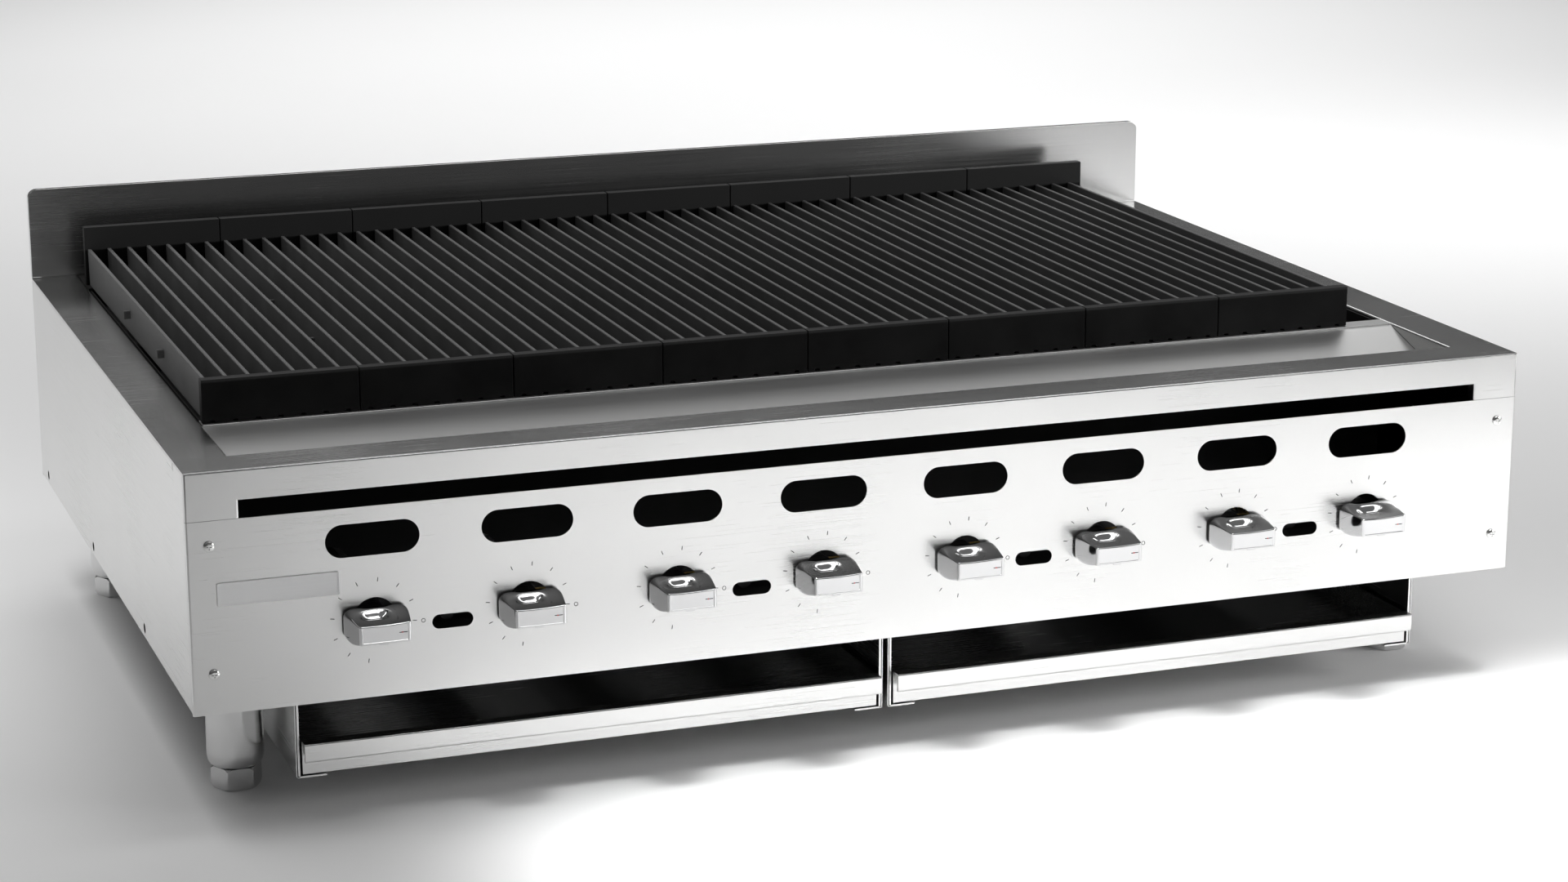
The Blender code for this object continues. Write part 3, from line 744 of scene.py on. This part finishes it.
def make_lights():
    """Soft lamps over and round the unit; the floor they light is what its front mirrors."""
    softbox("rear_light", (1.5, 4.0, 3.2), (1.5, 4.0, 0), (3.6, 2.6), 60, 120)
    softbox("strip_light", (1.8, 4.6, 3.3), (0, 0, 0.3), (4.5, 0.5), 10, 150)
    softbox("ceiling_light", (0.8, 1.5, 2.8), (0.8, 1.5, 0), (3.0, 1.2), 5)
    softbox("top_light", (0.65, -0.5, 2.3), (0.65, -0.5, 0), (2.0, 0.5), 3.5, 110)
    softbox("front_floor_light", (0.4, -1.25, 1.5), (0.4, -1.25, 0), (1.3, 1.2), 6.2, 50)
    softbox("near_floor_light", (0.3, -0.56, 1.0), (0.3, -0.56, 0), (1.2, 0.14), 2.1, 24)
    softbox("right_front_light", (1.15, -0.9, 1.2), (1.15, -0.9, 0), (0.4, 0.5), 1.2, 40)
    softbox("front_right_light", (2.4, -1.6, 1.0), (0.2, 0, 0.2), (1.4, 1.0), 12, 120)
    softbox("left_floor_light", (-1.2, 0.35, 1.8), (-1.2, 0.35, 0), (0.8, 1.4), 4.5, 70)
    softbox("left_rear_light", (-2.2, 2.4, 1.8), (-1.2, 2.2, 0), (1.2, 1.2), 6, 100)
    softbox("right_floor_light", (2.4, 1.4, 1.8), (1.6, 1.6, 0), (1.4, 2.0), 9, 90)


def make_surroundings():
    """A dim grey world, brighter overhead than below."""
    world = bpy.data.worlds.new("studio")
    bpy.context.scene.world = world
    world.use_nodes = True
    tree = world.node_tree
    sky = tree.nodes["Background"]
    place = tree.nodes.new("ShaderNodeTexCoord")
    split = tree.nodes.new("ShaderNodeSeparateXYZ")
    ramp = tree.nodes.new("ShaderNodeValToRGB")
    tree.links.new(place.outputs["Generated"], split.inputs[0])
    tree.links.new(split.outputs["Z"], ramp.inputs["Fac"])
    tree.links.new(ramp.outputs["Color"], sky.inputs["Color"])
    while len(ramp.color_ramp.elements) < len(SKY_STOPS):
        ramp.color_ramp.elements.new(0.5)
    for element, (position, value) in zip(ramp.color_ramp.elements, SKY_STOPS):
        element.position = position
        element.color = (value, value, value, 1)
    sky.inputs["Strength"].default_value = SKY_STRENGTH
    bpy.context.scene.view_settings.view_transform = "Standard"


# ------------------------------------------------------------------ sheet metal

def round_corners(body):
    """Round a body's two front upright corners to the sheet's bend."""
    outline = rounded_rectangle((-HALF, 0), (HALF, 2 * BODY_DEPTH),
                                (CORNER_BEND, CORNER_BEND, 0, 0), 6)
    return cut(body, [prism(outline, 2, -1, 1)], "INTERSECT")


def slot_cutter():
    """The apron slot's shape in plan, flared at its ends where the sheet bends in."""
    right = arc((SLOT_HALF + SLOT_BEND, SLOT_BEND), SLOT_BEND, 270, 180, 6)
    right = [(SLOT_HALF + SLOT_BEND, -SHEET)] + right + [(SLOT_HALF, 2 * SLOT_RETURN)]
    left = [(-x, y) for x, y in reversed(right)]
    return prism(right + left, 2, -2 * APRON, SLOT_TOP)


def top_frame():
    """Deck strips and slotted apron, bent from sheet."""
    front_line = [(FRONT_STRIP, -FRONT_FLANGE), (FRONT_STRIP, 0), (0, 0), (0, -APRON)]
    parts = [prism(folded(front_line, SHEET, TIGHT_BEND), 0, -HALF, HALF)]
    side_line = [(HALF, 0), (OPENING_HALF, 0), (OPENING_HALF, -DECK_FLANGE)]
    for side in (-1, 1):
        strip = [(side * x, z) for x, z in folded(side_line)]
        parts.append(prism(strip, 1, FRONT_STRIP - SHEET, BODY_DEPTH))
        inner, outer = sorted((side * (HALF - SHEET), side * HALF))
        parts.append(block((inner, INSET, -APRON), (outer, RETURN, -INSET)))
        inner, outer = sorted((side * SLOT_HALF, side * (SLOT_HALF + SHEET)))
        parts.append(block((inner, INSET, -APRON), (outer, SLOT_RETURN, SLOT_TOP + SHEET)))
    body = round_corners(joined(parts))
    cut(body, [slot_cutter()])
    body.name = "deck_and_apron"
    smooth(body)
    done(body, "steel_x", "root", ["top_frame"])


def control_panel():
    """Front sheet with ports, knob holes and pilot ports."""
    low, high = part_box("control_panel")
    line = [(-HALF, RETURN), (-HALF, 0), (HALF, 0), (HALF, RETURN)]
    body = prism(folded(line, SHEET, CORNER_BEND - SHEET), 2, low.z, high.z)
    holes = [obround(*PORT_SIZE, (x, PORT_Z)) for x in BURNER_XS]
    holes += [circle((x, KNOB_Z + KNOB_HOLE_RISE), KNOB_HOLE, 48) for x in BURNER_XS]
    holes += [obround(*PILOT_SIZE, (x, PILOT_Z), 12) for x in PILOT_XS]
    cut(body, [prism(outline, 1, -SHEET, 2 * SHEET) for outline in holes])
    shelf_end = HALF - SIDE_FLANGE - GAP
    shelf = block((-shelf_end, SHELF_FRONT, low.z), (shelf_end, SHELF_BACK, low.z + SHEET))
    body = merged("front_panel", [body, softened(shelf, 0.0003)])
    smooth(body)
    done(body, "steel_x", "root", ["control_panel"])


def side_panel(name, node, side):
    """Side sheet with its bottom edge bent in."""
    low, high = part_box(node)
    line = [(HALF - SIDE_FLANGE, low.z), (HALF, low.z), (HALF, high.z)]
    outline = [(side * x, z) for x, z in folded(line)]
    body = prism(outline, 1, low.y, high.y, name)
    smooth(softened(body, 0.0003, 2, 60))
    done(body, "steel_y", "root", [node])


def backsplash():
    """Upstand with its rim folded back and a lap behind the body."""
    low, high = part_box("backsplash")
    front = low.y
    inner = SPLASH_CORNER - SHEET
    outline = rounded_rectangle((-HALF, LAP_BOTTOM), (HALF, high.z),
                                (0, 0, SPLASH_CORNER, SPLASH_CORNER), 10)
    hole = rounded_rectangle((SHEET - HALF, LAP_BOTTOM + SHEET), (HALF - SHEET, high.z - SHEET),
                             (0, 0, inner, inner), 10)
    lap = block((SPLASH_CORNER - HALF, front + SHEET + GAP, low.z),
                (HALF - SPLASH_CORNER, front + 2 * SHEET + GAP, LAP_BOTTOM + SHEET))
    parts = [
        plate("face", outline, [], front, front + SHEET, 0.0005),
        plate("rim", outline, [hole], front + RIM_START, high.y),
        softened(lap, 0.0003),
    ]
    body = merged("backsplash_upstand", parts)
    smooth(body)
    done(body, "steel_x", "root", ["backsplash"])


def back_panel():
    """Rear sheet with the gas pipe's hole."""
    low, high = part_box("back_panel")
    pipe_low, pipe_high = part_box("gas_supply_pipe")
    centre = ((pipe_low.x + pipe_high.x) / 2, (pipe_low.z + pipe_high.z) / 2)
    outline = rounded_rectangle((low.x, low.z), (high.x, high.z), (0, 0, 0, 0))
    body = plate("rear_panel", outline, [circle(centre, PIPE_HOLE, 36)], low.y, high.y)
    smooth(body)
    done(body, "steel_x", "root", ["back_panel"])


def grease_trough():
    """Sloped trough with bent edges."""
    low, high = part_box("grease_trough")
    rear = high.y - TROUGH_FLANGE
    floor = low.z + SHEET
    line = [(rear + TROUGH_LAP, -SHEET), (rear, -SHEET), (low.y + TROUGH_GUTTER, floor),
            (low.y, floor), (low.y, -SHEET - 2 * GAP)]
    slope = prism(folded(line), 0, low.x, high.x)
    flange = block((low.x, rear, -SHEET), (high.x, high.y, 0))
    body = merged("trough", [slope, softened(flange, 0.0002, 1)])
    smooth(body)
    done(body, "trough", "root", ["grease_trough"])


def nameplate():
    """Blank plate with a fine raised border."""
    low, high = part_box("nameplate")
    radii = (NAMEPLATE_CORNER,) * 4
    left, right = low.x + NAMEPLATE_BORDER, high.x - NAMEPLATE_BORDER
    bottom, top = low.z + NAMEPLATE_BORDER, high.z - NAMEPLATE_BORDER
    outline = rounded_rectangle((low.x, low.z), (high.x, high.z), radii)
    window = rounded_rectangle((left, bottom), (right, top), radii)
    parts = [
        plate("field", outline, [], low.y + FIELD_DEPTH, high.y, 0.0001),
        plate("border", outline, [window], low.y, low.y + BORDER_THICK, 0.0001),
    ]
    body = merged("blank_plate", parts)
    smooth(body)
    done(body, "plate", "root", ["nameplate"])


# ---------------------------------------------------------------------- grates

def fin(x, low, high):
    """One fin, a little thinner at its foot, between the section's end plates."""
    top = low.z + FIN_TOP
    wide = FIN_THICK / 2
    right = [(wide - FIN_TAPER, low.z), (wide, top - FIN_SHOULDER), (wide, top - FIN_CHAMFER),
             (wide - FIN_CHAMFER, top)]
    left = [(-across, z) for across, z in reversed(right)]
    outline = [(x + across, z) for across, z in right + left]
    return prism(outline, 1, low.y + FIN_INSET, high.y - FIN_INSET)


def grate_ends(left, right, low, high, centres):
    """A section's two end plates, the front one notched under its fins."""
    front = block((left, low.y, low.z), (right, low.y + GRATE_PLATE, low.z + FRONT_PLATE_TOP))
    notches = [block((x + NOTCH_NEAR, low.y - 0.001, low.z - 0.001),
                     (x + NOTCH_FAR, low.y + NOTCH_DEEP, low.z + NOTCH_HIGH)) for x in centres]
    back = block((left, high.y - GRATE_PLATE, low.z), (right, high.y, high.z))
    return [softened(cut(front, notches), 0.0006), softened(back, 0.0009)]


def ties(low, centres):
    """The bars under a section's fins, with a lug on each side."""
    reach = centres[0] - low.x
    foot = low.z
    parts = []
    for y in TIE_PLACES:
        front, back = y - TIE_HALF, y + TIE_HALF
        bar = block((centres[0], front, foot), (centres[-1], back, foot + TIE_HIGH))
        lugs = [block((x, front, foot + LUG_LOW), (x + reach, back, foot + LUG_HIGH))
                for x in (low.x, centres[-1])]
        parts += [softened(piece, 0.0004, 1) for piece in (bar, *lugs)]
    return parts


def grate(index):
    """One cast section: notched end plates, tapered fins and ties."""
    node = f"grate_{index + 1}"
    low, high = part_box(node)
    left = GRATE_LEFT + index * GRATE_PITCH
    right = left + GRATE_PITCH - GRATE_JOINT
    centres = [left + FIRST_FIN + i * GRATE_PITCH / FINS for i in range(FINS)]
    ends = merged(f"grate_ends_{index + 1}", grate_ends(left, right, low, high, centres))
    smooth(ends)
    done(ends, "iron", node, [node])
    body = merged(f"grate_fins_{index + 1}",
                  [fin(x, low, high) for x in centres] + ties(low, centres))
    smooth(body)
    done(body, "fins", node)


# ----------------------------------------------------------------------- knobs

# Depth before the panel, half width, top, bottom, corner radius and crown, in mm
KNOB_SECTIONS = (
    (3.0, 26.2, 12.9, 12.9, 7.0, 0.6),
    (5.0, 26.1, 13.2, 13.2, 6.5, 1.0),
    (10.0, 25.4, 12.8, 13.0, 4.5, 2.0),
    (18.0, 24.0, 10.0, 12.0, 2.0, 0.8),
    (26.0, 22.6, 8.3, 10.5, 1.2, 0.1),
    (32.5, 21.5, 7.9, 9.0, 1.2, 0.0),
    (34.0, 21.2, 7.9, 8.7, 1.2, 0.0),
)
# The front rim: inset in X, inset in Z, depth, in mm
KNOB_RIM = ((0.35, 0.10, 34.7), (1.0, 0.35, 35.2), (1.7, 0.75, 35.5), (2.5, 1.40, 35.5),
            (2.7, 1.60, 35.35), (2.9, 1.80, 35.0))
# The finger scoop in the top: its drop, depth and run, middle and reach in X, in mm
SCOOP_DROP = 4.0
SCOOP_DEPTH = 16.5
SCOOP_RUN = 4.3
SCOOP_MIDDLE = -4.0
SCOOP_REACH = 10.0
# The top's sag towards the front: its drop, start and run, middle and reach in X, in mm
SAG_DROP = 1.2
SAG_START = 18.0
SAG_RUN = 17.5
SAG_MIDDLE = -5.0
SAG_REACH = 26.5
MM = 0.001

# Details on and under the knob's front face, measured from its axis
KNOB_FACE = -0.0350
CLIP_LOW = (-0.0045, -0.0335, -0.0100)
CLIP_HIGH = (0.0025, -0.0260, -0.0080)
POINTER_LOW = (0.0112, KNOB_FACE - 0.0001, -0.0009)
POINTER_HIGH = (0.0178, KNOB_FACE + 0.0004, -0.0002)
DOT_PLACE = (0.0137, 0, -0.00055)
DOT_PROFILE = ((0.0006, KNOB_FACE + 0.0003), (0.0006, KNOB_FACE - 0.0001),
               (0.0004, KNOB_FACE - 0.0002))


def between_sections(depth):
    """The knob's section at a depth, on a smooth curve through the listed ones."""
    rows = KNOB_SECTIONS
    i = max(k for k in range(len(rows) - 1) if rows[k][0] <= depth)
    before, after = rows[i], rows[i + 1]
    earlier, later = rows[max(i - 1, 0)], rows[min(i + 2, len(rows) - 1)]
    run = after[0] - before[0]
    t = (depth - before[0]) / run
    weights = (2 * t ** 3 - 3 * t ** 2 + 1, t ** 3 - 2 * t ** 2 + t,
               3 * t ** 2 - 2 * t ** 3, t ** 3 - t ** 2)
    values = []
    for k in range(1, len(before)):
        slope_in = (after[k] - earlier[k]) / (after[0] - earlier[0]) * run
        slope_out = (later[k] - before[k]) / (later[0] - before[0]) * run
        terms = (before[k], slope_in, after[k], slope_out)
        values.append(sum(weight * term for weight, term in zip(weights, terms)))
    return values


def knob_ring(depth, half, top, bottom, radius, crown):
    """Points round the knob at one depth, with its crowned top and finger scoop."""
    ring = []
    corners = ((half - radius, top - radius, 0), (radius - half, top - radius, 90),
               (radius - half, radius - bottom, 180), (half - radius, radius - bottom, 270))
    for i, (x, z, start) in enumerate(corners):
        bend = arc((x, z), radius, start, start + 90, 6)
        end_x, end_z = bend[-1]
        next_x, next_z = corners[(i + 1) % 4][:2]
        if i in (0, 2):
            edge = [(x + (next_x - x) * k / 36, end_z) for k in range(1, 36)]
        else:
            edge = [(end_x, z + (next_z - z) * k / 6) for k in range(1, 6)]
        ring += bend + edge
    scoop = SCOOP_DROP * math.exp(-((depth - SCOOP_DEPTH) / SCOOP_RUN) ** 2)
    sag = SAG_DROP * max(0.0, (depth - SAG_START) / SAG_RUN)
    points = []
    for x, z in ring:
        share = max(0.0, z / top) ** 2
        dip = crown * (x / half) ** 2
        dip += scoop * math.exp(-((x - SCOOP_MIDDLE) / SCOOP_REACH) ** 4)
        dip += sag * (1 - ((x - SAG_MIDDLE) / SAG_REACH) ** 2)
        points.append((x * MM, -depth * MM, (z - dip * share) * MM))
    return points


def knob_body():
    """The knob round its own axis, front towards -Y."""
    first, last = KNOB_SECTIONS[0][0], KNOB_SECTIONS[-1][0]
    levels = 34
    depths = [first + (last - first) * k / levels for k in range(levels)]
    rings = [knob_ring(depth, *between_sections(depth)) for depth in depths]
    half, top, bottom, radius, crown = KNOB_SECTIONS[-1][1:]
    rings.append(knob_ring(last, half, top, bottom, radius, crown))
    for in_x, in_z, depth in KNOB_RIM:
        corner = max(radius - in_z * 0.5, 0.4)
        rings.append(knob_ring(depth, half - in_x, top - in_z, bottom - in_z, corner, crown))
    return loft(rings, "knob_body")


def knob(index):
    """A chrome bar knob with its pointer line, a red dot and a clip underneath."""
    node = f"knob_{index + 1}"
    low, high = part_box(node)
    centre = Vector(((low.x + high.x) / 2, 0, (low.z + high.z) / 2))
    clip = softened(block(CLIP_LOW, CLIP_HIGH), 0.0003, 1)
    body = merged(f"knob_handle_{index + 1}", [knob_body(), clip])
    smooth(moved(body, centre), 40)
    done(body, "knob", node, [node])
    line = softened(block(POINTER_LOW, POINTER_HIGH), 0.0001, 1)
    line.name = f"knob_pointer_{index + 1}"
    done(moved(line, centre), "marks", node)
    dot = turned(DOT_PROFILE, 1, 16, f"knob_dot_{index + 1}")
    done(moved(dot, centre + Vector(DOT_PLACE)), "pointer", node)


def dial(index):
    """The marks printed round a knob: ten ticks and a ring at the off mark."""
    centre = (BURNER_XS[index] + DIAL_SHIFT[0], 0, KNOB_Z + DIAL_SHIFT[1])
    parts = []
    for k in range(TICKS):
        tick = block((TICK_START, -INK_OUT, -TICK_HALF), (TICK_END, INK_IN, TICK_HALF))
        angle = math.radians(FIRST_TICK + TICK_STEP * k)
        tick.data.transform(Matrix.Rotation(-angle, 4, "Y"))
        parts.append(moved(tick, centre))
    outer, inner = [circle(OFF_MARK, radius, 24) for radius in OFF_RADII]
    ring = plate("off_ring", outer, [inner], -INK_OUT, INK_IN, 0.00001)
    parts.append(moved(ring, centre))
    body = merged(f"dial_marks_{index + 1}", parts)
    done(body, "marks")


# ------------------------------------------------------------------- fasteners

def screw_head(radius, height):
    """A pan head on the origin, pointing to -Y, with a cross recess."""
    steps = 7
    bend = 1 - SCREW_FLAT
    profile = [(radius, 0), (radius, -height * SCREW_FLAT)]
    for k in range(1, steps):
        angle = math.radians(90 * k / steps)
        across = radius * (SCREW_FLAT + bend * math.cos(angle))
        rise = height * (SCREW_FLAT + bend * math.sin(angle))
        profile.append((across, -rise))
    profile.append((radius * 0.05, -height))
    head = turned(profile, 1, 32)
    arm = radius * 0.52
    slot = radius * 0.11
    start = -height - 0.001
    end = -height * 0.55
    return cut(head, [block((-arm, start, -slot), (arm, end, slot)),
                      block((-slot, start, -arm), (slot, end, arm))])


def fasteners():
    """Panel, side and rear screws: each one's place, and its turn about Z in degrees."""
    back = part_box("back_panel")[1].y
    flange_back = back + SHEET + GAP
    groups = {
        "panel_screws": [(x, 0.0, z, 0) for x in PANEL_SCREW_XS for z in PANEL_SCREW_ZS],
        "side_screws": [(side * HALF, y, SIDE_SCREW_Z, -side * 90)
                        for side in (-1, 1) for y in SIDE_SCREW_YS],
        "rear_screws": [(x, y, z, 180) for x in REAR_SCREW_XS
                        for y, z in ((back, REAR_SCREW_LOW), (flange_back, REAR_SCREW_HIGH))],
    }
    source = screw_head(SCREW_RADIUS, SCREW_HEIGHT)
    for name, places in groups.items():
        heads = []
        for x, y, z, turn in places:
            mesh = source.data.copy()
            mesh.transform(Matrix.Rotation(math.radians(turn), 4, "Z"))
            heads.append(moved(new_object("head", mesh), (x, y, z)))
        body = merged(name, heads)
        smooth(body, 35)
        done(body, "screw")
    bpy.data.objects.remove(source)


# ---------------------------------------------------------------- legs and feet

def leg(node):
    """A turned, polished leg with a round shoulder."""
    low, high = part_box(node)
    bottom, top = low.z, high.z
    flange = (high.x - low.x) / 2
    widest = LEG_RADIUS + LEG_SWELL + SHOULDER_STEP
    sole = LEG_RADIUS - SHOULDER_REACH
    steps = 12
    shoulder = [(STUD_HOLE, bottom), (sole, bottom)]
    for k in range(1, steps + 1):
        angle = math.radians(90 * k / steps)
        across = widest - SHOULDER_REACH * (1 - math.sin(angle) ** 0.8)
        rise = SHOULDER_RISE * (1 - math.cos(angle)) + SHOULDER_STEP
        shoulder.append((across, bottom + rise))
    shaft = [(LEG_RADIUS + LEG_SWELL, bottom + 0.030), (LEG_RADIUS, top - 0.020),
             (LEG_RADIUS, top - 1.5 * CAP_THICK)]
    cap = [(flange - CAP_CHAMFER, top - CAP_THICK), (flange, top - CAP_THICK + CAP_CHAMFER),
           (flange, top)]
    body = turned(shoulder + shaft + cap, 2, 64, node.replace("leg", "leg_tube"))
    moved(body, ((low.x + high.x) / 2, (low.y + high.y) / 2, 0))
    smooth(body, 40)
    done(body, "leg", "root", [node])


def foot(node):
    """A hexagonal foot with chamfered corners under a threaded stem."""
    low, high = part_box(node)
    bottom = low.z
    top = bottom + FOOT_HIGH
    corner = FOOT_ACROSS / 2 / math.cos(math.radians(30))
    chamfer = [(corner * 0.90, bottom - 0.0001), (corner * 1.001, bottom + 0.0030),
               (corner * 1.001, top - 0.0022), (corner * 0.92, top + 0.0001)]
    hexagon = turned([(corner, bottom), (corner, top)], 2, 6)
    cut(hexagon, [turned(chamfer, 2, 48)], "INTERSECT")
    softened(hexagon, 0.0004, 2, 25)
    start = top - STEM_START
    turns = int((high.z - start) / THREAD_PITCH)
    thread = []
    for k in range(turns * 2 + 1):
        radius = THREAD_CREST if k % 2 else THREAD_ROOT
        thread.append((radius, min(start + k * THREAD_PITCH / 2, high.z)))
    body = merged(node.replace("foot", "foot_hex"), [hexagon, turned(thread, 2, 24)])
    moved(body, ((low.x + high.x) / 2, (low.y + high.y) / 2, 0))
    smooth(body, 30)
    done(body, "leg", node, [node])


# --------------------------------------------------------------------- drawers

def drawer_housing(node):
    """Open-fronted channel bent from sheet."""
    low, high = part_box(node)
    front, back = low.y, high.y
    inset = 0.0004
    parts = []
    for wall, turn in ((low.x, 1), (high.x, -1)):
        line = [(wall + turn * HOUSING_FLANGE, low.z), (wall, low.z), (wall, high.z),
                (wall + turn * HOUSING_FLANGE / 2, high.z)]
        if turn > 0:
            line = line[::-1]
        parts.append(prism(folded(line, SHEET, HOUSING_BEND), 1, front, back))
        near, far = sorted((wall + turn * inset, wall + turn * HOUSING_RETURN))
        edge = block((near, front, low.z + inset), (far, front + SHEET, high.z))
        parts.append(softened(edge, 0.0003))
    parts.append(block((low.x + INSET, back - SHEET, low.z + INSET),
                       (high.x - INSET, back, high.z)))
    body = merged(node.replace("drawer_housing", "drawer_channel"), parts)
    smooth(body)
    done(body, "steel_y", "root", [node])


def drawer(node):
    """Shallow tray with a folded, hemmed lip."""
    low, high = part_box(node)
    front = low.y + LIP_REACH
    shell = block((low.x, front, low.z), (high.x, high.y, high.z - SHEET))
    hollow = block((low.x + SHEET, front + SHEET, low.z + SHEET),
                   (high.x - SHEET, high.y - SHEET, high.z + 0.01))
    tray = softened(cut(shell, [hollow]))
    hem = low.y + LIP_HEM
    lip_bottom = high.z - LIP_DROP
    line = [(front + SHEET, low.z + LIP_FOOT), (front + SHEET, high.z), (low.y, high.z),
            (low.y, lip_bottom), (hem, lip_bottom), (hem, lip_bottom + LIP_HEM_RISE)]
    outline = folded(line, LIP_SHEET, LIP_BEND)
    lip = softened(prism(outline, 0, low.x, high.x), 0.0002, 1, 60)
    body = merged(node + "_tray", [tray, lip])
    smooth(body)
    done(body, "steel_x", node, [node])


# ---------------------------------------------------------------- hidden pieces

def carry_over():
    """CAD nodes whose shape is right get their finished materials."""
    looks = {"firebox_liner": "dark", "burner_rest": "dark", "rear_grate_rail": "dark",
             "base_frame": "dark", "gas_manifold": "pipe", "gas_supply_pipe": "pipe",
             "pilot_line": "brass"}
    for i in range(1, BURNERS + 1):
        looks[f"burner_{i}"] = "dark"
        looks[f"radiant_{i}"] = "iron"
    for node, look in looks.items():
        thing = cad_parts[node]
        thing.data.materials.clear()
        thing.data.materials.append(LOOKS[look])


make_camera()
make_floor()
make_lights()
make_surroundings()
top_frame()
control_panel()
side_panel("side_sheet_left", "side_panel_left", -1)
side_panel("side_sheet_right", "side_panel_right", 1)
backsplash()
back_panel()
grease_trough()
nameplate()
for number in range(BURNERS):
    grate(number)
    knob(number)
    dial(number)
fasteners()
for row in ("front", "rear"):
    for side in ("left", "right"):
        leg(f"leg_{row}_{side}")
        foot(f"foot_{row}_{side}")
for side in ("left", "right"):
    drawer_housing(f"drawer_housing_{side}")
    drawer(f"drawer_{side}")
carry_over()
